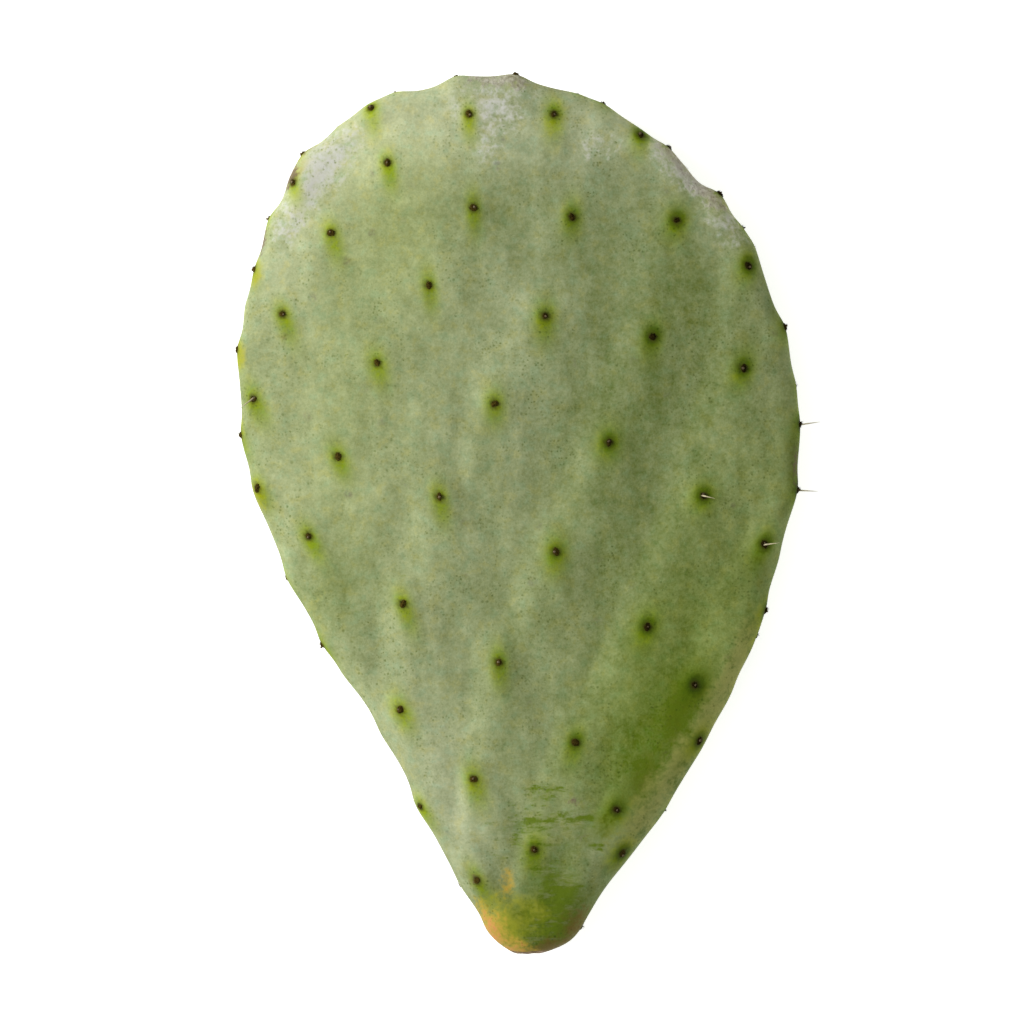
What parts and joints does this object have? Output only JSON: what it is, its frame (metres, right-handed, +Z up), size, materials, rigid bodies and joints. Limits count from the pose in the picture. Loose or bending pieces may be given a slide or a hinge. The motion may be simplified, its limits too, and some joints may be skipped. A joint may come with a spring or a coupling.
{
  "type": "prickly pear cactus pad",
  "caption": "Picked prickly pear cactus pad lying flat: an egg-shaped fleshy stem joint with low tubercles, rows of areoles, a few short spines and a picking scar.",
  "frame": {"origin": "middle of the bottom of the bounding box, on the surface that the pad lies on", "axes": "+Y from the stem end to the tip, +Z up out of the front face, +X to the right of the front face with the tip up"},
  "size_m": [0.1794, 0.2698, 0.0268],
  "materials": {
    "pad_skin": "waxy, with a pale bloom",
    "areole_felt": "short felt",
    "spine": "dry, slightly glossy"
  },
  "bodies": {
    "root": {"cactus_pad": "pad_skin"}
  },
  "joints": []
}
